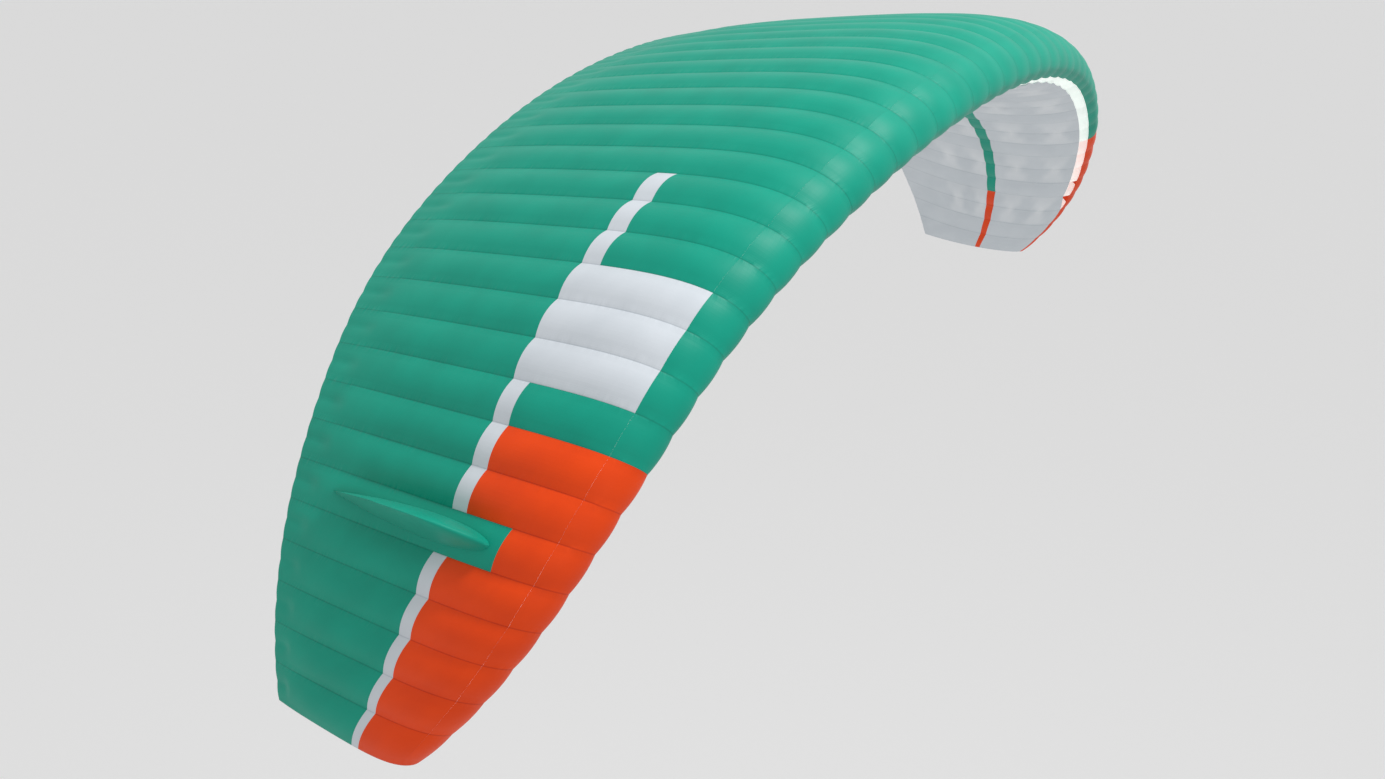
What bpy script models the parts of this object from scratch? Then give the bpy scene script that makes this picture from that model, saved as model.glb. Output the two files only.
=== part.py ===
"""Paraglider wing: a ram-air canopy of 47 cells in its inflated flight shape, with two tip fins.

Metres, +Z up. The wing flies towards -Y and spans X, its pilot's right tip at -X. The origin lies on
the lower cloth of the middle cell, where the centre lines would pull. Every sheet is a thin closed
solid: the nose cloth wraps the leading edge, the upper and lower cloth run from it to the trailing
edge, and 48 ribs stand between them. The air intakes are the slots between nose and lower cloth.
"""
import math
from collections import namedtuple

import bmesh
import bpy
import numpy as np

# Driving dimensions, in metres unless a name says otherwise.
CELLS = 47
FLAT_SPAN = 11.2
TIP_CELL_NARROWING = 0.0836      # how much narrower the end cells are than the middle one
CLOTH = 0.002                    # thickness of every sheet
GAP = 0.0003                     # clearance between neighbouring pieces
RIB_CLEARANCE = 0.0009           # the same along a rib's edge, where the cloth slopes across it
TRAILING_EDGE = 0.006            # height of the closed trailing edge over both sheets
CELL_BULGE = 0.030               # how far the upper cloth swells between two ribs
PULL_POINT = 0.30                # chord fraction of the origin and of the washout's pivot
TIP_THINNING = 0.09              # loss of relative thickness at the tips
TIP_RIB_LEAN = 0.21              # outward lean of the two end ribs, as a slope

# Half of the wing, by fraction of the half span from the middle of the wing.
PLANFORM_COLUMNS = ("fraction", "chord", "setback", "arch_deg", "washout_deg")
PLANFORM = (
    (0.00, 2.842, 0.000, 0.0, 0.0),
    (0.25, 2.780, 0.061, 13.1, -0.2),
    (0.50, 2.579, 0.236, 29.0, -0.8),
    (0.70, 2.191, 0.451, 47.6, 1.1),
    (0.85, 1.787, 0.752, 60.2, 1.7),
    (0.95, 1.349, 1.093, 67.7, 1.9),
    (1.00, 1.066, 1.325, 72.6, 0.7),
)

# Aerofoil height over chord is sqrt(x) * (1 - x) times these polynomials in the chord fraction x.
UPPER_SHAPE = (0.341, -0.396, 0.277)
LOWER_SHAPE = (0.217, 0.071)

# Chord fractions of the seams and of the facets between them.
FRONT_LIP = 0.021                # front lip of the air intakes, on the lower side
REAR_LIP = 0.050                 # rear lip of the air intakes
NOSE_SEAM = 0.061                # seam between nose cloth and upper cloth, on the upper side
RIB_END = 0.965                  # the ribs stop short of the trailing edge
NOSE_FACETS = (-FRONT_LIP, -0.008, 0.0, 0.010, 0.032, NOSE_SEAM)
UPPER_FACETS = (NOSE_SEAM, 0.13, 0.24, 0.38, 0.54, 0.74, 1.0)
LOWER_FACETS = (REAR_LIP, 0.09, 0.20, 0.42, 0.70, 1.0)
CLOSED_CELLS = 3                 # cells at each tip that have no air intake

# Tip fins, small inflated blades sewn on the upper cloth.
FIN_CELL = 5
FIN_HEIGHT = 0.30
FIN_HALF_WIDTH = 0.072
FIN_LEAN = 0.15                  # inboard lean, as a slope
FIN_SEAT = 0.003                 # clearance over the cell that carries the fin
FIN_LEVEL_COLUMNS = ("height", "nose", "tail", "width")
FIN_LEVELS = (
    (0.00, 0.215, 0.810, 1.00),
    (0.35, 0.235, 0.735, 0.80),
    (0.75, 0.282, 0.610, 0.52),
    (1.00, 0.345, 0.520, 0.22),
)

# Where the sheets are parted along the span: name, first rib, last rib.
SECTIONS = (("right", 0, 16), ("centre", 16, 31), ("left", 31, CELLS))

RibFrame = namedtuple("RibFrame", "side x z angle chord setback washout thickness lean")


def mirrored_law(column, fractions, odd=False):
    """Smooth spanwise law: a cubic through one column of PLANFORM, mirrored about the middle."""
    index = PLANFORM_COLUMNS.index(column)
    half = np.array([row[0] for row in PLANFORM])
    values = np.array([row[index] for row in PLANFORM])
    stations = np.concatenate([-half[:0:-1], half])
    levels = np.concatenate([(-values if odd else values)[:0:-1], values])
    slopes = np.gradient(levels, stations)
    left = np.clip(np.searchsorted(stations, fractions) - 1, 0, len(stations) - 2)
    step = stations[left + 1] - stations[left]
    t = (fractions - stations[left]) / step
    return (
        (2 * t**3 - 3 * t**2 + 1) * levels[left]
        + (t**3 - 2 * t**2 + t) * step * slopes[left]
        + (3 * t**2 - 2 * t**3) * levels[left + 1]
        + (t**3 - t**2) * step * slopes[left + 1]
    )


def rib_fractions():
    """Spanwise place of each rib, from -1 at the right tip to 1 at the left tip."""
    even = np.linspace(-1.0, 1.0, CELLS + 1)
    return (even - TIP_CELL_NARROWING * even**3 / 3) / (1 - TIP_CELL_NARROWING / 3)


def arch_curve(fractions):
    """Sideways and downward course of the arch, integrated from its slope along the flat span."""
    grid = np.linspace(0.0, 1.0, 1601)
    slope = np.radians(mirrored_law("arch_deg", grid, odd=True))
    step = np.diff(grid) * FLAT_SPAN / 2
    run = np.concatenate([[0.0], np.cumsum((np.cos(slope[1:]) + np.cos(slope[:-1])) / 2 * step)])
    drop = np.concatenate([[0.0], np.cumsum((np.sin(slope[1:]) + np.sin(slope[:-1])) / 2 * step)])
    distance = np.abs(fractions)
    return np.sign(fractions) * np.interp(distance, grid, run), -np.interp(distance, grid, drop)


def rib_frames():
    """Place, attitude and size of every rib plane."""
    fractions = rib_fractions()
    x, z = arch_curve(fractions)
    angle = np.radians(mirrored_law("arch_deg", fractions, odd=True))
    chord = mirrored_law("chord", fractions)
    setback = mirrored_law("setback", fractions)
    washout = np.radians(mirrored_law("washout_deg", fractions))
    frames = []
    for rib, fraction in enumerate(fractions):
        side = -1 if fraction < 0 else 1
        lean = TIP_RIB_LEAN if rib in (0, CELLS) else 0.0
        thickness = 1 - TIP_THINNING * fraction**6
        frames.append(RibFrame(side, x[rib], z[rib], angle[rib], chord[rib], setback[rib],
                               washout[rib], thickness, lean))
    return frames


def polynomial(coefficients, x):
    return sum(value * x**power for power, value in enumerate(coefficients))


def profile_height(root, frame):
    """Aerofoil height at a signed root of the chord fraction, positive on the upper side."""
    x = root * root
    shape = UPPER_SHAPE if root >= 0 else LOWER_SHAPE
    swelling = root * (1 - x) * polynomial(shape, x) * frame.thickness
    return swelling * frame.chord + math.copysign(x * TRAILING_EDGE / 2, root)


def profile_point(station, frame, inset=0.0):
    """Point of a rib's outline in its own plane: distance behind the nose, and height.

    A station is a chord fraction, negative on the lower side. The inset moves it inwards.
    """
    root = math.copysign(math.sqrt(abs(station)), station)
    tiny = 1e-4
    rise = (profile_height(root + tiny, frame) - profile_height(root - tiny, frame)) / (2 * tiny)
    run = 2 * root * frame.chord
    length = math.hypot(run, rise)
    along = root * root * frame.chord + rise / length * inset
    height = profile_height(root, frame) - run / length * inset
    return along, height, (-rise / length, run / length)


def rib_point(frame, station, inset=0.0, shift=0.0):
    """Point on a rib's outline in space, moved by shift along the span, with its outward normal."""
    along, height, normal = profile_point(station, frame, inset)
    cosine, sine = math.cos(frame.washout), math.sin(frame.washout)
    pivot = PULL_POINT * frame.chord
    back = frame.setback + pivot + (along - pivot) * cosine - height * sine
    up = height * cosine + (along - pivot) * sine
    spanwise = shift + frame.lean * frame.side * up
    outward = np.array([math.sin(frame.angle), 0.0, math.cos(frame.angle)])
    tangent = np.array([math.cos(frame.angle), 0.0, -math.sin(frame.angle)])
    place = np.array([frame.x, back, frame.z]) + outward * up + tangent * spanwise
    normal_back = normal[0] * cosine - normal[1] * sine
    normal_up = normal[1] * cosine + normal[0] * sine
    return place, np.array([0.0, normal_back, 0.0]) + outward * normal_up


def bulge(station):
    """How far a cell swells at a station: full over the upper side, less at the lips and the end."""
    if station < 0:
        return 0.35 * CELL_BULGE
    front = min(1.0, 0.55 + 0.45 * station / 0.13)
    back = 1.0 if station < 0.74 else 1 - 0.7 * (station - 0.74) / 0.26
    return CELL_BULGE * front * back


def cell_point(cell, across, station, inset=0.0):
    """Point of a cell's cloth, from its right rib (across 0) to its left rib (across 1)."""
    near, near_normal = rib_point(FRAMES[cell], station)
    far, far_normal = rib_point(FRAMES[cell + 1], station)
    normal = near_normal * (1 - across) + far_normal * across
    normal = normal / np.linalg.norm(normal)
    swell = 4 * across * (1 - across) * bulge(station)
    return near * (1 - across) + far * across + normal * (swell - inset)


def new_object(name, vertices, faces, material):
    mesh = bpy.data.meshes.new(name)
    mesh.from_pydata([tuple(point - ORIGIN) for point in vertices], [], faces)
    shape = bmesh.new()
    shape.from_mesh(mesh)
    bmesh.ops.recalc_face_normals(shape, faces=shape.faces)
    shape.to_mesh(mesh)
    shape.free()
    mesh.materials.append(material)
    made = bpy.data.objects.new(name, mesh)
    bpy.context.collection.objects.link(made)
    return made


def cloth_material(name, colour):
    material = bpy.data.materials.new(name)
    material.use_nodes = True
    shader = material.node_tree.nodes["Principled BSDF"]
    shader.inputs["Base Color"].default_value = (*colour, 1.0)
    shader.inputs["Roughness"].default_value = 0.55
    shader.inputs["Metallic"].default_value = 0.0
    return material


def thick_grid(columns):
    """Vertices and triangles of a closed sheet from columns of (outer, inner) point pairs."""
    rows = len(columns[0])
    vertices = [pair[face] for column in columns for pair in column for face in (0, 1)]

    def corner(column, row, face):
        return (column * rows + row) * 2 + face

    faces = []

    def strip(a, b, c, d):
        faces.extend([(a, b, c), (a, c, d)])

    last_column, last_row = len(columns) - 1, rows - 1
    for column in range(last_column):
        for row in range(last_row):
            for face in (0, 1):
                strip(corner(column, row, face), corner(column + 1, row, face),
                      corner(column + 1, row + 1, face), corner(column, row + 1, face))
        for row in (0, last_row):
            strip(corner(column, row, 0), corner(column + 1, row, 0),
                  corner(column + 1, row, 1), corner(column, row, 1))
    for column in (0, last_column):
        for row in range(last_row):
            strip(corner(column, row, 0), corner(column, row + 1, 0),
                  corner(column, row + 1, 1), corner(column, row, 1))
    return vertices, faces


def sheet(name, first, last, stations_at, crests, material):
    """One sewn sheet over the cells from rib first to rib last.

    stations_at gives a rib's chord stations, and crests adds the swollen middle of each cell.
    """
    columns = []
    for rib in range(first, last + 1):
        shift = 0.0
        if rib == first and rib > 0:
            shift = GAP / 2
        if rib == last and rib < CELLS:
            shift = -GAP / 2
        pairs = []
        for station in stations_at(rib):
            outer = rib_point(FRAMES[rib], station, 0.0, shift)[0]
            inner = rib_point(FRAMES[rib], station, CLOTH, shift)[0]
            pairs.append((outer, inner))
        columns.append(pairs)
        if crests and rib < last:
            middle = np.mean([stations_at(rib), stations_at(rib + 1)], axis=0)
            columns.append([(cell_point(rib, 0.5, station), cell_point(rib, 0.5, station, CLOTH))
                            for station in middle])
    vertices, faces = thick_grid(columns)
    return new_object(name, vertices, faces, material)


def nose_stations(rib):
    seam = NOSE_SEAM - GAP / 2 / FRAMES[rib].chord
    return NOSE_FACETS[:-1] + (seam,)


def upper_stations(rib):
    seam = NOSE_SEAM + GAP / 2 / FRAMES[rib].chord
    return (seam,) + UPPER_FACETS[1:]


def lower_stations(rib):
    """From the rear lip of the intake, or from the front lip where the cell is closed."""
    closed = min(rib, CELLS - rib) <= CLOSED_CELLS
    front = FRONT_LIP + GAP / FRAMES[rib].chord if closed else REAR_LIP
    return tuple(-station for station in (front,) + LOWER_FACETS[1:])


def rib_plate(rib, material):
    """A rib: the aerofoil outline inside the sheets, as a flat plate."""
    frame = FRAMES[rib]
    above = NOSE_FACETS + UPPER_FACETS[1:-1] + (RIB_END,)
    below = tuple(-station for station in (RIB_END,) + LOWER_FACETS[-2:0:-1])
    outline = above + below
    start = -CLOTH / 2
    if rib == 0:
        start = 0.0
    if rib == CELLS:
        start = -CLOTH
    vertices = []
    for shift in (start, start + CLOTH):
        for station in outline:
            if abs(station) == RIB_END:
                vertices.append(rib_end_corner(frame, station, shift))
            else:
                vertices.append(rib_point(frame, station, CLOTH + RIB_CLEARANCE, shift)[0])
    count = len(outline)
    faces = [tuple(range(count)), tuple(range(2 * count - 1, count - 1, -1))]
    faces += [(corner, (corner + 1) % count, (corner + 1) % count + count, corner + count)
              for corner in range(count)]
    return new_object(f"rib_{rib:02d}", vertices, faces, material)


def rib_end_corner(frame, station, shift):
    """End corner of a rib, on the straight facet that runs to the trailing edge."""
    facets = UPPER_FACETS if station > 0 else LOWER_FACETS
    share = (abs(station) - facets[-2]) / (facets[-1] - facets[-2])
    inset = CLOTH + RIB_CLEARANCE
    front = rib_point(frame, math.copysign(facets[-2], station), inset, shift)[0]
    back = rib_point(frame, math.copysign(facets[-1], station), inset, shift)[0]
    return front * (1 - share) + back * share


def faceted_cell_point(cell, across, station):
    """Point on the facets of a cell's upper cloth, which run straight between stations."""
    facets = UPPER_FACETS
    index = max(k for k in range(len(facets) - 1) if station >= facets[k])
    share = (station - facets[index]) / (facets[index + 1] - facets[index])
    fold = 2 * across if across < 0.5 else 2 * across - 1
    edges = (0.0, 0.5) if across < 0.5 else (0.5, 1.0)
    points = []
    for edge in edges:
        front = cell_point(cell, edge, facets[index])
        back = cell_point(cell, edge, facets[index + 1])
        points.append(front * (1 - share) + back * share)
    return points[0] * (1 - fold) + points[1] * fold


def fin_stations():
    """Fractions along the fin's own chord, with one at each facet of the cloth below."""
    nose, tail = FIN_LEVELS[0][1], FIN_LEVELS[0][2]
    shared = [(facet - nose) / (tail - nose) for facet in UPPER_FACETS if nose < facet < tail]
    return sorted([0.0, 0.012, 0.15, 0.62, 0.90, 1.0] + shared)


def fin(name, cell, inboard, material):
    """A tip fin: a blade lofted through FIN_LEVELS, its foot following the cloth it is sewn to."""
    width = np.linalg.norm(cell_point(cell, 1.0, 0.4) - cell_point(cell, 0.0, 0.4))
    middle = (FRAMES[cell].angle + FRAMES[cell + 1].angle) / 2
    rise = np.array([math.sin(middle), 0.0, math.cos(middle)])
    rise = rise + inboard * FIN_LEAN * np.array([math.cos(middle), 0.0, -math.sin(middle)])
    stations = fin_stations()
    vertices = []
    for height, nose, tail, share in FIN_LEVELS:
        lift = rise * (FIN_SEAT + FIN_HEIGHT * height)
        for along in stations:
            station = nose + (tail - nose) * along
            blade = 2.6 * math.sqrt(along) * (1 - along) + 0.04 * along
            half = FIN_HALF_WIDTH * share * blade / width
            for side in (-half, 0.0, half):
                vertices.append(faceted_cell_point(cell, 0.5 + side, station) + lift)
    count = len(stations)

    def corner(level, index, side):
        return (level * count + index) * 3 + side

    top = len(FIN_LEVELS) - 1
    faces = []
    for index in range(count - 1):
        for level in (0, top):
            for side in (0, 1):
                faces.append((corner(level, index, side), corner(level, index + 1, side),
                              corner(level, index + 1, side + 1), corner(level, index, side + 1)))
        for level in range(top):
            for side in (0, 2):
                faces.append((corner(level, index, side), corner(level, index + 1, side),
                              corner(level + 1, index + 1, side), corner(level + 1, index, side)))
    for level in range(top):
        faces.append((corner(level, count - 1, 0), corner(level, count - 1, 1),
                      corner(level + 1, count - 1, 1), corner(level + 1, count - 1, 0)))
        faces.append((corner(level, count - 1, 1), corner(level, count - 1, 2),
                      corner(level + 1, count - 1, 2), corner(level + 1, count - 1, 1)))
    made = new_object(name, vertices, faces, material)
    shape = bmesh.new()
    shape.from_mesh(made.data)
    bmesh.ops.remove_doubles(shape, verts=shape.verts, dist=1e-5)
    bmesh.ops.triangulate(shape, faces=shape.faces)
    bmesh.ops.recalc_face_normals(shape, faces=shape.faces)
    shape.to_mesh(made.data)
    shape.free()
    return made


for old in list(bpy.data.objects):
    bpy.data.objects.remove(old, do_unlink=True)

FRAMES = rib_frames()
MIDDLE_RIB = CELLS // 2
ORIGIN = np.array([0.0, 0.0, 0.0])
ORIGIN = (rib_point(FRAMES[MIDDLE_RIB], -PULL_POINT)[0]
          + rib_point(FRAMES[MIDDLE_RIB + 1], -PULL_POINT)[0]) / 2

white = cloth_material("white_rib_cloth", (0.80, 0.80, 0.78))
teal = cloth_material("teal_ripstop", (0.0, 0.34, 0.27))
orange = cloth_material("orange_ripstop", (0.80, 0.07, 0.0))
grey = cloth_material("light_grey_ripstop", (0.56, 0.60, 0.62))

for section, first_rib, last_rib in SECTIONS:
    nose_colour = teal if section == "centre" else orange
    sheet(f"nose_{section}", first_rib, last_rib, nose_stations, True, nose_colour)
    sheet(f"upper_{section}", first_rib, last_rib, upper_stations, True, teal)
    sheet(f"lower_{section}", first_rib, last_rib, lower_stations, False, grey)

for rib_number in range(CELLS + 1):
    rib_plate(rib_number, white)

fin("fin_right", FIN_CELL, 1, teal)
fin("fin_left", CELLS - 1 - FIN_CELL, -1, teal)
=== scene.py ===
"""Paraglider wing: a ram-air canopy of 47 cells, inflated and flying.

The sections follow the wing as a loft sews it: ribs, diagonal ribs, lower cloth, upper cloth, nose
cloth and tip fins. The wing flies towards -Y, spans X and has +Z up, in metres.
"""
import math
from collections import namedtuple

import bpy
import numpy as np
from mathutils import Matrix, Vector


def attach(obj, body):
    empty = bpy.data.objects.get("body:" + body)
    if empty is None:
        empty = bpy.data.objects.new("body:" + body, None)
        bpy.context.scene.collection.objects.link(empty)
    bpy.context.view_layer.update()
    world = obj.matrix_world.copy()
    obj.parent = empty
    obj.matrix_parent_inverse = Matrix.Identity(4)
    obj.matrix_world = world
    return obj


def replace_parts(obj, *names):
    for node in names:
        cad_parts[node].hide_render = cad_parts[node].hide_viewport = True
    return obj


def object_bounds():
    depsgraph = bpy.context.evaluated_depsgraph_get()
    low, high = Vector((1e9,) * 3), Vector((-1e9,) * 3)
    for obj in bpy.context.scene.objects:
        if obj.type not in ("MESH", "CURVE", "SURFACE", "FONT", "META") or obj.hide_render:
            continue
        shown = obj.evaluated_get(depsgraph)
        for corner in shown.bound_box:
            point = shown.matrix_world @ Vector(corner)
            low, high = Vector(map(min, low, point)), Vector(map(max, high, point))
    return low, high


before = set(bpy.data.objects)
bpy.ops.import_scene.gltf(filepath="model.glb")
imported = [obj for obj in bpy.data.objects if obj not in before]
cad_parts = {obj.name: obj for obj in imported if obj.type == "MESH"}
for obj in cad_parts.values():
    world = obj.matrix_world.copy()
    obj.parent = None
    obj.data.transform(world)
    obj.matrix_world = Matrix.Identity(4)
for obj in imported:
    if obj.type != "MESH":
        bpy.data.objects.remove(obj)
cad_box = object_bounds()

# ------------------------------------------------------------------------------------------------
# Ribs: white stiffened ripstop nylon, laser cut to the aerofoil and sewn between the two skins.
# They set the whole wing's shape, so the laws of its plan, arch and aerofoil are given here.
# ------------------------------------------------------------------------------------------------
CELLS = 47
FLAT_SPAN = 11.2
TIP_CELL_NARROWING = 0.0836
TRAILING_EDGE = 0.006
CELL_BULGE = 0.030
PULL_POINT = 0.30
TIP_THINNING = 0.09
TIP_RIB_LEAN = 0.21
CLOTH = 0.0008                   # drawn thickness of one layer; the real one is 0.05 mm
GAP = 0.0003
PLAN_COLUMNS = ("fraction", "chord", "setback", "arch_deg", "washout_deg")
PLAN = (
    (0.00, 2.842, 0.000, 0.0, 0.0),
    (0.25, 2.780, 0.061, 13.1, -0.2),
    (0.50, 2.579, 0.236, 29.0, -0.8),
    (0.70, 2.191, 0.451, 47.6, 1.1),
    (0.85, 1.787, 0.752, 60.2, 1.7),
    (0.95, 1.349, 1.093, 67.7, 1.9),
    (1.00, 1.066, 1.325, 72.6, 0.7),
)
UPPER_SHAPE = (0.341, -0.396, 0.277)
LOWER_SHAPE = (0.217, 0.071)
FRONT_LIP = 0.021
REAR_LIP = 0.050
NOSE_SEAM = 0.061
RIB_END = 0.985
CLOSED_CELLS = 3
SECTIONS = (("right", 0, 16), ("centre", 16, 31), ("left", 31, CELLS))

RibPlace = namedtuple("RibPlace", "side x z angle chord setback washout thickness lean span")


def plan_law(column, fractions, odd=False):
    """One column of PLAN as a smooth cubic through its stations, mirrored about the middle."""
    index = PLAN_COLUMNS.index(column)
    half = np.array([row[0] for row in PLAN])
    values = np.array([row[index] for row in PLAN])
    stations = np.concatenate([-half[:0:-1], half])
    levels = np.concatenate([(-values if odd else values)[:0:-1], values])
    slopes = np.gradient(levels, stations)
    left = np.clip(np.searchsorted(stations, fractions) - 1, 0, len(stations) - 2)
    step = stations[left + 1] - stations[left]
    t = (fractions - stations[left]) / step
    return (
        (2 * t**3 - 3 * t**2 + 1) * levels[left]
        + (t**3 - 2 * t**2 + t) * step * slopes[left]
        + (3 * t**2 - 2 * t**3) * levels[left + 1]
        + (t**3 - t**2) * step * slopes[left + 1]
    )


def place_ribs():
    """Where every rib stands along the arch, from the pilot's right tip to the left tip."""
    even = np.linspace(-1.0, 1.0, CELLS + 1)
    fractions = (even - TIP_CELL_NARROWING * even**3 / 3) / (1 - TIP_CELL_NARROWING / 3)
    grid = np.linspace(0.0, 1.0, 1601)
    slope = np.radians(plan_law("arch_deg", grid, odd=True))
    step = np.diff(grid) * FLAT_SPAN / 2
    run = np.concatenate([[0.0], np.cumsum((np.cos(slope[1:]) + np.cos(slope[:-1])) / 2 * step)])
    drop = np.concatenate([[0.0], np.cumsum((np.sin(slope[1:]) + np.sin(slope[:-1])) / 2 * step)])
    x = np.sign(fractions) * np.interp(np.abs(fractions), grid, run)
    z = -np.interp(np.abs(fractions), grid, drop)
    angle = np.radians(plan_law("arch_deg", fractions, odd=True))
    chord = plan_law("chord", fractions)
    setback = plan_law("setback", fractions)
    washout = np.radians(plan_law("washout_deg", fractions))
    return [RibPlace(-1 if s < 0 else 1, x[i], z[i], angle[i], chord[i], setback[i], washout[i],
                     1 - TIP_THINNING * s**6, TIP_RIB_LEAN if i in (0, CELLS) else 0.0,
                     s * FLAT_SPAN / 2)
            for i, s in enumerate(fractions)]


def profile_height(root, rib):
    """Aerofoil height in metres at a signed root of the chord fraction, negative below."""
    x = root * root
    upper = sum(value * x**power for power, value in enumerate(UPPER_SHAPE))
    lower = sum(value * x**power for power, value in enumerate(LOWER_SHAPE))
    swelling = root * (1 - x) * np.where(root >= 0, upper, lower) * rib.thickness
    return swelling * rib.chord + np.sign(root) * x * TRAILING_EDGE / 2


def outline(number, stations, inset=0.0, shift=0.0):
    """Points on a rib's outline and their outward normals, at signed chord fractions."""
    rib = RIBS[number]
    stations = np.asarray(stations, float)
    root = np.sign(stations) * np.sqrt(np.abs(stations))
    tiny = 1e-4
    rise = (profile_height(root + tiny, rib) - profile_height(root - tiny, rib)) / (2 * tiny)
    run = 2 * root * rib.chord
    length = np.hypot(run, rise)
    pivot = PULL_POINT * rib.chord
    along = root * root * rib.chord + rise / length * inset - pivot
    height = profile_height(root, rib) - run / length * inset
    cosine, sine = math.cos(rib.washout), math.sin(rib.washout)
    back = rib.setback + pivot + along * cosine - height * sine
    up = height * cosine + along * sine
    spanwise = shift + rib.lean * rib.side * up
    outward = np.array([math.sin(rib.angle), 0.0, math.cos(rib.angle)])
    tangent = np.array([math.cos(rib.angle), 0.0, -math.sin(rib.angle)])
    points = np.outer(up, outward) + np.outer(spanwise, tangent) + [rib.x, 0.0, rib.z]
    points[:, 1] += back
    normals = np.outer((run * cosine - rise * sine) / length, outward)
    normals[:, 1] += (-rise * cosine - run * sine) / length
    return points - ORIGIN, normals


def row_of(start, stop, count):
    """Signed chord fractions from start to stop, closer together towards the nose."""
    roots = np.linspace(math.copysign(math.sqrt(abs(start)), start),
                        math.copysign(math.sqrt(abs(stop)), stop), count + 1)
    return np.sign(roots) * roots**2


ORIGIN = np.zeros(3)
RIBS = place_ribs()
ORIGIN = (outline(CELLS // 2, [-PULL_POINT])[0][0] + outline(CELLS // 2 + 1, [-PULL_POINT])[0][0]) / 2


def linear(hex_colour):
    """An sRGB hex colour as the linear numbers that a shader takes."""
    channels = [int(hex_colour[i:i + 2], 16) / 255 for i in (1, 3, 5)]
    return (*[c / 12.92 if c <= 0.04045 else ((c + 0.055) / 1.055) ** 2.4 for c in channels], 1.0)


def node(tree, kind, settings=None, links=None, **values):
    """Adds one shader node: its settings, its socket values and what feeds its sockets."""
    added = tree.nodes.new(kind)
    for name, value in (settings or {}).items():
        setattr(added, name, value)
    for name, value in values.items():
        added.inputs[name.replace("_", " ")].default_value = value
    for socket, source in (links or {}).items():
        tree.links.new(source, added.inputs[socket])
    return added


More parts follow.
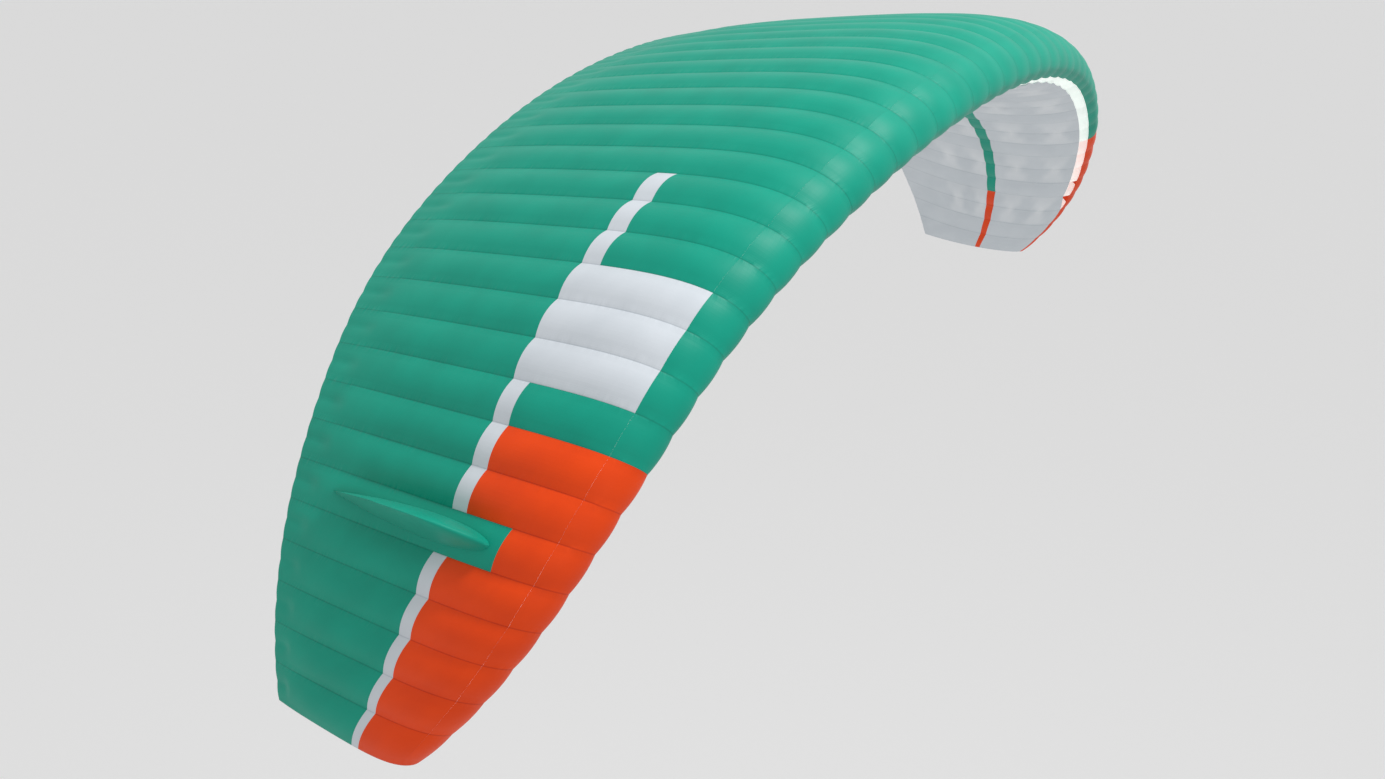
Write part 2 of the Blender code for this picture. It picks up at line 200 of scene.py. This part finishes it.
def ripstop(name, colour, shade, roughness, sheen, painted_strap_light=0.0):
    """Coated ripstop nylon: a plain weave with a thicker thread every 5 mm, satin from its coating.

    The grid of thick threads is drawn at 24 mm, because at its real 5 mm it would not show. Creases
    fan out from the rib seams, where the cloth is gathered, and the seam itself is painted darker:
    painted shade for the valley between two swellings. Where a strap lies behind the cloth, it is
    painted lighter, a painted light for daylight through the thin cloth.
    """
    material = bpy.data.materials.new(name)
    material.use_nodes = True
    tree = material.node_tree
    shader = tree.nodes["Principled BSDF"]
    shader.inputs["Roughness"].default_value = roughness
    shader.inputs["IOR"].default_value = 1.5
    shader.inputs["Specular IOR Level"].default_value = 0.22
    shader.inputs["Sheen Weight"].default_value = sheen
    shader.inputs["Sheen Roughness"].default_value = 0.4
    uv = node(tree, "ShaderNodeUVMap", {"uv_map": "cloth_metres"}).outputs["UV"]
    from_seam = node(tree, "ShaderNodeAttribute", {"attribute_name": "from_seam"}).outputs["Fac"]
    parts = node(tree, "ShaderNodeSeparateXYZ", links={"Vector": uv}).outputs
    threads = []
    for axis in ("X", "Y"):
        scaled = node(tree, "ShaderNodeMath", {"operation": "MULTIPLY"}, {0: parts[axis]})
        scaled.inputs[1].default_value = 1 / 0.024
        wrapped = node(tree, "ShaderNodeMath", {"operation": "PINGPONG"}, {0: scaled.outputs[0]})
        wrapped.inputs[1].default_value = 0.5
        thread = node(tree, "ShaderNodeMapRange", {"interpolation_type": "SMOOTHSTEP"},
                      {"Value": wrapped.outputs[0]}, From_Min=0.0, From_Max=0.12,
                      To_Min=1.0, To_Max=0.0)
        threads.append(thread.outputs["Result"])
    grid = node(tree, "ShaderNodeMath", {"operation": "MAXIMUM"},
                {0: threads[0], 1: threads[1]}).outputs[0]
    stretch = node(tree, "ShaderNodeMapping", links={"Vector": uv}, Scale=(1.6, 22.0, 1.0))
    creases = node(tree, "ShaderNodeTexNoise", {"noise_dimensions": "2D"},
                   {"Vector": stretch.outputs["Vector"]}, Scale=1.0, Detail=3.0, Roughness=0.55)
    near_seam = node(tree, "ShaderNodeMapRange", {"interpolation_type": "SMOOTHSTEP"},
                     {"Value": from_seam}, From_Min=0.0, From_Max=0.62, To_Min=1.0, To_Max=0.05)
    gathered = node(tree, "ShaderNodeMath", {"operation": "MULTIPLY"},
                    {0: creases.outputs["Fac"], 1: near_seam.outputs["Result"]}).outputs[0]
    soft = node(tree, "ShaderNodeBump", links={"Height": gathered}, Strength=0.55, Distance=0.012)
    woven = node(tree, "ShaderNodeBump", links={"Height": grid, "Normal": soft.outputs["Normal"]},
                 Strength=0.25, Distance=0.0006)
    tree.links.new(woven.outputs["Normal"], shader.inputs["Normal"])
    clouds = node(tree, "ShaderNodeTexNoise", {"noise_dimensions": "2D"}, {"Vector": uv},
                  Scale=3.5, Detail=4.0)
    tone = node(tree, "ShaderNodeMapRange", links={"Value": clouds.outputs["Fac"]},
                From_Min=0.3, From_Max=0.7, To_Min=0.0, To_Max=0.22)
    # Painted shade: the colour darkens towards the rib seam, for the shade in the valley between swellings.
    seam_shade = node(tree, "ShaderNodeMapRange", {"interpolation_type": "SMOOTHSTEP"},
                {"Value": from_seam}, From_Min=0.0, From_Max=0.10, To_Min=0.55, To_Max=0.0)
    tone_and_seam_shade = node(tree, "ShaderNodeMath", {"operation": "ADD", "use_clamp": True},
                  {0: tone.outputs["Result"], 1: seam_shade.outputs["Result"]})
    base = node(tree, "ShaderNodeMix", {"data_type": "RGBA"}, {0: tone_and_seam_shade.outputs[0]})
    base.inputs[6].default_value = linear(colour)
    base.inputs[7].default_value = linear(shade)
    # Painted light: the cloth is mixed towards white where a strap lies behind it, for daylight through the
    # thin cloth.
    light = node(tree, "ShaderNodeAttribute", {"attribute_name": "strap_light_mask"}).outputs["Fac"]
    lift = node(tree, "ShaderNodeMath", {"operation": "MULTIPLY"}, {0: light})
    lift.inputs[1].default_value = painted_strap_light
    lit = node(tree, "ShaderNodeMix", {"data_type": "RGBA"}, {0: lift.outputs[0], 6: base.outputs[2]})
    lit.inputs[7].default_value = linear("#FFFFFF")
    tree.links.new(lit.outputs[2], shader.inputs["Base Color"])
    return material


GLOWING_RIB_CLOTH = ripstop("white_rib_ripstop_painted_glow", "#EDEFEE", "#D3D7D8", 0.60, 0.10)
# Painted glow: the rib cloth emits light, as daylight through the thin skins keeps the ribs bright.
GLOWING_RIB_CLOTH.node_tree.nodes["Principled BSDF"].inputs["Emission Color"].default_value = linear("#F4F4F0")
GLOWING_RIB_CLOTH.node_tree.nodes["Principled BSDF"].inputs["Emission Strength"].default_value = 0.45


def cloth_object(name, points, faces, coordinates, from_seam, strap_light_mask=None):
    """A mesh with its cloth coordinates in metres and its distance from the nearest rib seam."""
    mesh = bpy.data.meshes.new(name)
    mesh.from_pydata([tuple(p) for p in points], [], faces)
    layer = mesh.uv_layers.new(name="cloth_metres")
    corners = np.empty(len(mesh.loops), dtype=np.int32)
    mesh.loops.foreach_get("vertex_index", corners)
    layer.data.foreach_set("uv", np.asarray(coordinates, np.float32)[corners].ravel())
    for label, values in (("from_seam", from_seam), ("strap_light_mask", strap_light_mask)):
        attribute = mesh.attributes.new(label, "FLOAT", "POINT")
        filled = np.zeros(len(points)) if values is None else values
        attribute.data.foreach_set("value", np.asarray(filled, np.float32))
    made = bpy.data.objects.new(name, mesh)
    bpy.context.scene.collection.objects.link(made)
    return made


def thicken(piece, thickness, offset, smooth_angle=24):
    """Gives a layer of cloth its thickness and smooths it between its seams."""
    bpy.ops.object.select_all(action="DESELECT")
    piece.select_set(True)
    bpy.context.view_layer.objects.active = piece
    solid = piece.modifiers.new("thickness", "SOLIDIFY")
    solid.thickness = thickness
    solid.offset = offset
    solid.use_even_offset = False
    bpy.ops.object.modifier_apply(modifier=solid.name)
    bpy.ops.object.shade_smooth_by_angle(angle=math.radians(smooth_angle))
    bpy.ops.object.select_all(action="DESELECT")


RIB_EDGE = np.concatenate([row_of(-RIB_END, -0.12, 22)[:-1], row_of(-0.12, 0.12, 28)[:-1],
                           row_of(0.12, RIB_END, 26)])

for rib_number in range(CELLS + 1):
    shift = {0: CLOTH / 2, CELLS: -CLOTH / 2}.get(rib_number, 0.0)
    points, _ = outline(rib_number, RIB_EDGE, CLOTH + GAP, shift)
    flat = np.column_stack([np.sign(RIB_EDGE) * 0.3, np.abs(RIB_EDGE) * RIBS[rib_number].chord])
    rib = cloth_object(f"rib_cloth_{rib_number:02d}", points, [tuple(range(len(points)))], flat,
                       np.full(len(points), 1.0))
    rib.data.materials.append(GLOWING_RIB_CLOTH)
    thicken(rib, CLOTH, 0.0)
    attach(rib, "root")
    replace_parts(rib, f"rib_{rib_number:02d}")

# ------------------------------------------------------------------------------------------------
# Diagonal ribs: V-shaped straps of white rib cloth from the foot of each loaded rib, where lines
# pull, up to the head of the ribs beside it. Only every third rib is loaded.
# ------------------------------------------------------------------------------------------------
LOADED_RIBS = range(2, CELLS, 3)
STRAPS = (0.13, 0.30, 0.47, 0.63)           # chord fractions of the straps' middles
STRAP_FOOT = 0.020                          # half width at the foot, by chord
STRAP_HEAD = 0.062                          # half width at the head
STRAP_INSET = 0.006
STRAP_STEPS = 6


def strap(loaded, neighbour, middle):
    """One strap as a small grid, from the loaded rib's foot to the neighbour's head."""
    across = np.array([-1.0, -0.33, 0.33, 1.0])
    foot, _ = outline(loaded, -(middle + across * STRAP_FOOT), STRAP_INSET)
    head, _ = outline(neighbour, middle + across * STRAP_HEAD, STRAP_INSET)
    lift = np.linspace(0.02, 0.98, STRAP_STEPS + 1)[:, None, None]
    return foot * (1 - lift) + head * lift


def diagonal_cloth(name, ribs):
    """All straps of a stretch of the wing, joined into one piece."""
    points, faces, flat, length = [], [], [], 0.0
    for loaded in ribs:
        for neighbour in (loaded - 1, loaded + 1):
            for middle in STRAPS:
                grid = strap(loaded, neighbour, middle)
                start = len(points)
                rows, columns = grid.shape[:2]
                height = np.linalg.norm(grid[-1, 1] - grid[0, 1])
                length += height
                for row in range(rows):
                    for column in range(columns):
                        points.append(grid[row, column])
                        flat.append((column * 0.06, row * height / rows))
                faces += [(start + r * columns + c, start + r * columns + c + 1,
                           start + (r + 1) * columns + c + 1, start + (r + 1) * columns + c)
                          for r in range(rows - 1) for c in range(columns - 1)]
    piece = cloth_object(name, points, faces, flat, np.ones(len(points)))
    piece.data.materials.append(GLOWING_RIB_CLOTH)
    thicken(piece, CLOTH, 0.0)
    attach(piece, "root")
    return piece


for section, first_rib, last_rib in SECTIONS:
    diagonal_cloth(f"diagonal_ribs_{section}", [r for r in LOADED_RIBS if first_rib < r <= last_rib])

# ------------------------------------------------------------------------------------------------
# Lower cloth: light grey coated ripstop, one panel per cell, from the rear lip of the air intakes
# to the trailing edge. Straight bands in teal and orange cross it, and straps show through it as
# painted light: the cloth is painted lighter over them, standing in for daylight through the thin cloth.
# ------------------------------------------------------------------------------------------------
LOWER_BAND = (0.40, 0.445)
LOWER_BAND_CELLS = {"orange": 4, "teal": 12}
LOWER_ACROSS = 8
LOWER_BULGE = 0.4 * CELL_BULGE
# The grey cloth is painted lighter over the straps behind it, a painted light.
GREY_CLOTH = ripstop("light_grey_ripstop", "#CDD3D8", "#AEB7BE", 0.55, 0.05, painted_strap_light=0.30)
TEAL_CLOTH = ripstop("teal_ripstop", "#00967E", "#007663", 0.48, 0.04)
ORANGE_CLOTH = ripstop("orange_ripstop", "#E64400", "#B82A00", 0.48, 0.06)
WHITE_CLOTH = ripstop("white_ripstop", "#CBD1D7", "#AEB6BD", 0.48, 0.05)
SHEET_CLOTHS = (TEAL_CLOTH, ORANGE_CLOTH, WHITE_CLOTH, GREY_CLOTH)
TEAL, ORANGE, WHITE, GREY = range(4)


def from_tip(cell):
    """A cell's number counted from the nearer wing tip, starting at 0."""
    return min(cell, CELLS - 1 - cell)


def ripple(across, station, bulge):
    """How far the cloth stands off: one swelling per cell, two over the mini-ribs at the back."""
    share = np.clip((abs(station) - 0.87) / 0.07, 0, 1)
    share = share * share * (3 - 2 * share)
    single = 4 * across * (1 - across)
    double = 0.55 * np.abs(np.sin(2 * np.pi * across))
    return bulge * ((1 - share) * single + share * double)


def sewn_sheet(name, first, last, stations_of, across, bulge_at, cloth_at, strap_light_at=None):
    """The cloth over the cells between two ribs, as one grid: rows run from nose to tail."""
    columns, spans, seams = [], [], []
    for cell in range(first, last):
        steps = across if cell < last - 1 else across + 1
        near_shift = GAP / 2 if cell == first and first > 0 else 0.0
        far_shift = -GAP / 2 if cell == last - 1 and last < CELLS else 0.0
        near, near_normal = outline(cell, stations_of(cell), 0.0, near_shift)
        far, far_normal = outline(cell + 1, stations_of(cell + 1), 0.0, far_shift)
        rows = np.array([bulge_at(s) for s in stations_of(cell)])
        middle_stations = (np.array(stations_of(cell)) + np.array(stations_of(cell + 1))) / 2
        for step in range(steps):
            t = step / across
            normal = near_normal * (1 - t) + far_normal * t
            normal /= np.linalg.norm(normal, axis=1)[:, None]
            swell = np.array([ripple(t, s, b) for s, b in zip(middle_stations, rows)])
            columns.append(near * (1 - t) + far * t + normal * swell[:, None])
            spans.append(RIBS[cell].span * (1 - t) + RIBS[cell + 1].span * t)
            seams.append((cell, t))
    count = len(columns[0])
    points = np.concatenate(columns)
    flat, from_seam, strap_light_mask = [], [], []
    for column, span, (cell, t) in zip(columns, spans, seams):
        lengths = np.concatenate([[0], np.cumsum(np.linalg.norm(np.diff(column, axis=0), axis=1))])
        flat += [(span, length) for length in lengths]
        from_seam += [min(1.0, 4 * t * (1 - t))] * count
        row = stations_of(cell)
        strap_light_mask += [0.0 if strap_light_at is None else strap_light_at(cell, t, s) for s in row]
    faces, cloths = [], []
    below = stations_of(first)[-1] < 0
    for column in range(len(columns) - 1):
        cell, t = seams[column]
        row = stations_of(cell)
        for step in range(count - 1):
            a, b = column * count + step, (column + 1) * count + step
            faces.append((a, b, b + 1, a + 1) if not below else (a, a + 1, b + 1, b))
            cloths.append(cloth_at(cell, (row[step] + row[step + 1]) / 2))
    piece = cloth_object(name, points, faces, flat, from_seam, strap_light_mask)
    for cloth in SHEET_CLOTHS:
        piece.data.materials.append(cloth)
    piece.data.polygons.foreach_set("material_index", cloths)
    thicken(piece, CLOTH, -1.0)
    lengths = [flat[(column + 1) * count - 1][1] for column in range(len(columns))]
    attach(piece, "root")
    return piece


def lower_rows(rib):
    """Rows of the lower cloth, from the intake's rear lip, or its front lip on a closed cell."""
    closed = min(rib, CELLS - rib) <= CLOSED_CELLS
    front = FRONT_LIP + GAP / RIBS[rib].chord if closed else REAR_LIP
    back = np.concatenate([row_of(0.08, LOWER_BAND[0], 12)[:-1], row_of(*LOWER_BAND, 3)[:-1],
                           row_of(LOWER_BAND[1], 0.87, 14)[:-1], row_of(0.87, 1.0, 8)])
    return -np.concatenate([row_of(front, 0.08, 3)[:-1], back])


def lower_bulge(station):
    return LOWER_BULGE * (1.0 if abs(station) < 0.74 else 1 - 0.7 * (abs(station) - 0.74) / 0.26)


def lower_cloth_at(cell, station):
    """The plain grey cloth, with the band in orange near the tip and teal further in."""
    if not LOWER_BAND[0] < -station < LOWER_BAND[1]:
        return GREY
    if from_tip(cell) < LOWER_BAND_CELLS["orange"]:
        return ORANGE
    return TEAL if from_tip(cell) < LOWER_BAND_CELLS["teal"] else GREY


def strap_behind(cell, across, station):
    """Whether a diagonal strap lies behind this place of the lower cloth, from 0 to 1, as the mask for
    painted light.
    """
    reach = None
    if cell in LOADED_RIBS:
        reach = across
    if cell + 1 in LOADED_RIBS:
        reach = 1 - across
    if reach is None:
        return 0.0
    half = STRAP_FOOT + (STRAP_HEAD - STRAP_FOOT) * reach
    nearest = min(abs(-station - middle) for middle in STRAPS)
    return float(np.clip((half - nearest) / 0.02 + 0.5, 0, 1)) * (1 - 0.6 * reach)


for section, first_rib, last_rib in SECTIONS:
    lower = sewn_sheet(f"lower_cloth_{section}", first_rib, last_rib, lower_rows, LOWER_ACROSS,
                       lower_bulge, lower_cloth_at, strap_behind)
    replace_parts(lower, f"lower_{section}")

# ------------------------------------------------------------------------------------------------
# Upper cloth: teal ripstop from the nose seam to the trailing edge, swollen between the ribs. Its
# colours are sewn in as straight blocks: a white band, a white block, orange at the tips.
# ------------------------------------------------------------------------------------------------
BAND = (0.335, 0.385)                       # white band, by chord fraction
BAND_CELLS = 15                             # how many cells the band crosses from each tip
ORANGE_CELLS = 8                            # orange ahead of the band on this many tip cells
WHITE_BLOCK = (9, 10, 11)                   # cells that are white ahead of the band
FIN_CELL = 5
FIN_PANEL_FRONT = 0.185                     # the fin stands on a panel that is teal from here back
UPPER_ACROSS = 12


def upper_rows(rib):
    seam = NOSE_SEAM + GAP / 2 / RIBS[rib].chord
    return np.concatenate([row_of(seam, FIN_PANEL_FRONT, 9)[:-1], row_of(FIN_PANEL_FRONT, BAND[0], 9)[:-1],
                           row_of(*BAND, 3)[:-1], row_of(BAND[1], 0.87, 16)[:-1],
                           row_of(0.87, 1.0, 9)])


def upper_bulge(station):
    front = min(1.0, 0.55 + 0.45 * station / 0.13)
    back = 1.0 if station < 0.74 else 1 - 0.7 * (station - 0.74) / 0.26
    return CELL_BULGE * front * back


def upper_cloth_at(cell, station):
    place = from_tip(cell)
    if place == FIN_CELL and station > FIN_PANEL_FRONT:
        return TEAL
    if BAND[0] < station < BAND[1] and place < BAND_CELLS:
        return WHITE
    if station < BAND[0] and place < ORANGE_CELLS:
        return ORANGE
    if station < BAND[0] and place in WHITE_BLOCK:
        return WHITE
    return TEAL


for section, first_rib, last_rib in SECTIONS:
    upper = sewn_sheet(f"upper_cloth_{section}", first_rib, last_rib, upper_rows, UPPER_ACROSS,
                       upper_bulge, upper_cloth_at)
    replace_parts(upper, f"upper_{section}")

# ------------------------------------------------------------------------------------------------
# Nose cloth: heavier ripstop that wraps the leading edge from the intakes' front lip to the seam
# on top. It is teal, and orange over the same tip cells as the upper cloth.
# ------------------------------------------------------------------------------------------------
NOSE_ACROSS = 12
NOSE_ROWS = 16
NOSE_BULGE = 0.35 * CELL_BULGE


def nose_rows(rib):
    return row_of(-FRONT_LIP, NOSE_SEAM - GAP / 2 / RIBS[rib].chord, NOSE_ROWS)


def nose_bulge(station):
    return NOSE_BULGE + (upper_bulge(NOSE_SEAM) - NOSE_BULGE) * max(0.0, station) / NOSE_SEAM


def nose_cloth_at(cell, station):
    return ORANGE if from_tip(cell) < ORANGE_CELLS else TEAL


for section, first_rib, last_rib in SECTIONS:
    nose = sewn_sheet(f"nose_cloth_{section}", first_rib, last_rib, nose_rows, NOSE_ACROSS,
                      nose_bulge, nose_cloth_at)
    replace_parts(nose, f"nose_{section}")

# ------------------------------------------------------------------------------------------------
# Tip fins: small blades of teal ripstop, blown up through the cloth they are sewn on, swept back
# like a shark's fin and leaning inboard. One stands on the sixth cell from each tip.
# ------------------------------------------------------------------------------------------------
FIN_HEIGHT = 0.30
FIN_HALF_WIDTH = 0.072
FIN_LEAN = 0.15
FIN_COLUMNS = ("height", "nose", "tail", "width")
FIN_LEVELS = (
    (0.00, 0.215, 0.810, 1.00),
    (0.35, 0.235, 0.735, 0.80),
    (0.75, 0.282, 0.610, 0.52),
    (1.00, 0.345, 0.520, 0.22),
)
FIN_STEPS = 34
FIN_ROWS = 14


def swollen_point(cell, across, station):
    """A point of the upper cloth as it is blown up."""
    near, near_normal = outline(cell, [station])
    far, far_normal = outline(cell + 1, [station])
    normal = near_normal[0] * (1 - across) + far_normal[0] * across
    normal /= np.linalg.norm(normal)
    swell = ripple(across, station, upper_bulge(station))
    return near[0] * (1 - across) + far[0] * across + normal * swell


def fin(name, cell, inboard):
    """One fin: rings of its blade section from its foot up, closed by a rounded top."""
    width = np.linalg.norm(swollen_point(cell, 1.0, 0.4) - swollen_point(cell, 0.0, 0.4))
    angle = (RIBS[cell].angle + RIBS[cell + 1].angle) / 2
    rise = np.array([math.sin(angle), 0.0, math.cos(angle)])
    rise += inboard * FIN_LEAN * np.array([math.cos(angle), 0.0, -math.sin(angle)])
    levels = np.array(FIN_LEVELS)
    alongs = np.linspace(0.0, 1.0, FIN_STEPS + 1) ** 1.6
    points, flat = [], []
    for row in range(FIN_ROWS + 1):
        height = math.sin(math.pi / 2 * row / FIN_ROWS)
        nose_at, tail_at, share = (np.interp(height, levels[:, 0], levels[:, k]) for k in (1, 2, 3))
        share *= math.sqrt(max(0.0, 1 - height**8))
        ring = [(along, 1) for along in alongs] + [(along, -1) for along in alongs[-2:0:-1]]
        for along, side in ring:
            station = nose_at + (tail_at - nose_at) * along
            blade = 2.6 * math.sqrt(along) * (1 - along)
            half = side * FIN_HALF_WIDTH * share * blade / width
            points.append(swollen_point(cell, 0.5 + half, station) + rise * (GAP * 4 + FIN_HEIGHT * height))
            flat.append((along * 1.2, height * FIN_HEIGHT))
    count = 2 * FIN_STEPS
    faces = [(r * count + c, r * count + (c + 1) % count, (r + 1) * count + (c + 1) % count,
              (r + 1) * count + c) for r in range(FIN_ROWS) for c in range(count)]
    for start in (0, FIN_ROWS * count):
        faces += [(start + c, start + c + 1, start + count - c - 1, start + (count - c) % count)
                  for c in range(FIN_STEPS)]
    piece = cloth_object(name, points, faces, flat, np.ones(len(points)))
    piece.data.materials.append(TEAL_CLOTH)
    bpy.ops.object.select_all(action="DESELECT")
    piece.select_set(True)
    bpy.context.view_layer.objects.active = piece
    bpy.ops.object.mode_set(mode="EDIT")
    bpy.ops.mesh.select_all(action="SELECT")
    bpy.ops.mesh.remove_doubles(threshold=1e-5)
    bpy.ops.mesh.normals_make_consistent(inside=False)
    bpy.ops.object.mode_set(mode="OBJECT")
    bpy.ops.object.shade_smooth_by_angle(angle=math.radians(50))
    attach(piece, "root")
    return piece


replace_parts(fin("tip_fin_right", FIN_CELL, 1), "fin_right")
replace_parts(fin("tip_fin_left", CELLS - 1 - FIN_CELL, -1), "fin_left")

# ------------------------------------------------------------------------------------------------
# Studio: a pale floor far below the flying wing, a bright even sky, and a large soft key light
# from above and ahead, so that its nose is bright and each cell shades down towards the tip.
# ------------------------------------------------------------------------------------------------
FLOOR_DROP = 30.0
FLOOR_SIZE = 3000.0
CAMERA_PLACE = (-8.462, -4.116, 2.522)
CAMERA_AZIMUTH = math.radians(33.9)
CAMERA_ELEVATION = math.radians(-25.95)
CAMERA_ROLL = math.radians(-2.29)
CAMERA_LENS = 36.56

bpy.ops.mesh.primitive_plane_add(size=FLOOR_SIZE, location=(0, 0, cad_box[0].z - FLOOR_DROP))
floor = bpy.context.active_object
floor.name = "floor"
paint = bpy.data.materials.new("pale_matt_floor")
paint.use_nodes = True
paint.node_tree.nodes["Principled BSDF"].inputs["Base Color"].default_value = linear("#FFFFFF")
paint.node_tree.nodes["Principled BSDF"].inputs["Roughness"].default_value = 0.9
floor.data.materials.append(paint)

world = bpy.data.worlds.new("studio")
world.use_nodes = True
world.node_tree.nodes["Background"].inputs["Color"].default_value = linear("#FFFFFF")
world.node_tree.nodes["Background"].inputs["Strength"].default_value = 0.70
bpy.context.scene.world = world
bpy.context.scene.view_settings.view_transform = "Standard"


def soft_light(name, place, target, size, power):
    """A square area light at a place, turned to face a target."""
    lamp = bpy.data.lights.new(name, "AREA")
    lamp.size = size
    lamp.energy = power
    holder = bpy.data.objects.new(name, lamp)
    holder.location = place
    holder.rotation_euler = (Vector(target) - Vector(place)).to_track_quat("-Z", "Y").to_euler()
    bpy.context.scene.collection.objects.link(holder)
    return holder


soft_light("key_light", (3.0, -8.0, 15.0), (0, 0, -0.5), 4.0, 2500)
soft_light("fill_light", (-12.0, -8.0, 1.0), (-2, 0, -1.0), 6.0, 60)

camera_data = bpy.data.cameras.new("camera")
camera_data.lens = CAMERA_LENS
camera_data.sensor_width = 36
camera = bpy.data.objects.new("camera", camera_data)
turn = (Matrix.Rotation(CAMERA_AZIMUTH - math.pi / 2, 4, "Z")
        @ Matrix.Rotation(math.pi / 2 + CAMERA_ELEVATION, 4, "X")
        @ Matrix.Rotation(CAMERA_ROLL, 4, "Z"))
camera.matrix_world = Matrix.Translation(CAMERA_PLACE) @ turn
bpy.context.scene.collection.objects.link(camera)
bpy.context.scene.camera = camera
